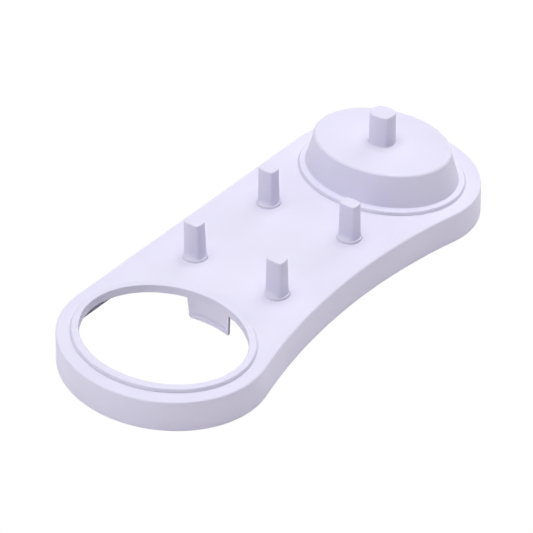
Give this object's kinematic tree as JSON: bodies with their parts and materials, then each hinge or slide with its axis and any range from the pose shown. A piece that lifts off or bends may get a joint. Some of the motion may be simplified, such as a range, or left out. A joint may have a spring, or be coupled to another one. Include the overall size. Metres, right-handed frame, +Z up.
{
  "type": "electric toothbrush holder",
  "caption": "Low hollow plate with an oval charger opening at one end, a raised oval stand with a peg at the other, and upright pegs for brush heads between them.",
  "frame": {"origin": "on the shelf, under the middle of the plate, halfway between the two ovals", "axes": "+X along the plate from the charger opening to the handle stand, +Y to the straight far side, +Z up"},
  "size_m": [0.1744, 0.0706, 0.0341],
  "materials": {
    "shell": "satin",
    "rim": "satin",
    "clips": "satin",
    "raised_stand": "satin",
    "pegs": "satin"
  },
  "bodies": {
    "stand": {"stand_shell": "shell", "charger_rim": "rim", "handle_stand": "raised_stand", "handle_peg": "pegs", "brush_peg_1": "pegs", "brush_peg_2": "pegs", "brush_peg_3": "pegs", "brush_peg_4": "pegs"},
    "clip_inner": {"charger_clip_inner": "clips"},
    "clip_outer": {"charger_clip_outer": "clips"}
  },
  "joints": [
    {"name": "clip_inner_flex", "type": "hinge", "parent": "stand", "child": "clip_inner", "pos_m": [-0.03425, 0, 0.0085], "axis": [0, -1, 0], "range_deg": [0, 6], "stiffness_Nm_per_rad": 0.6},
    {"name": "clip_outer_flex", "type": "hinge", "parent": "stand", "child": "clip_outer", "pos_m": [-0.07975, 0, 0.0085], "axis": [0, 1, 0], "range_deg": [0, 6], "stiffness_Nm_per_rad": 0.6}
  ]
}
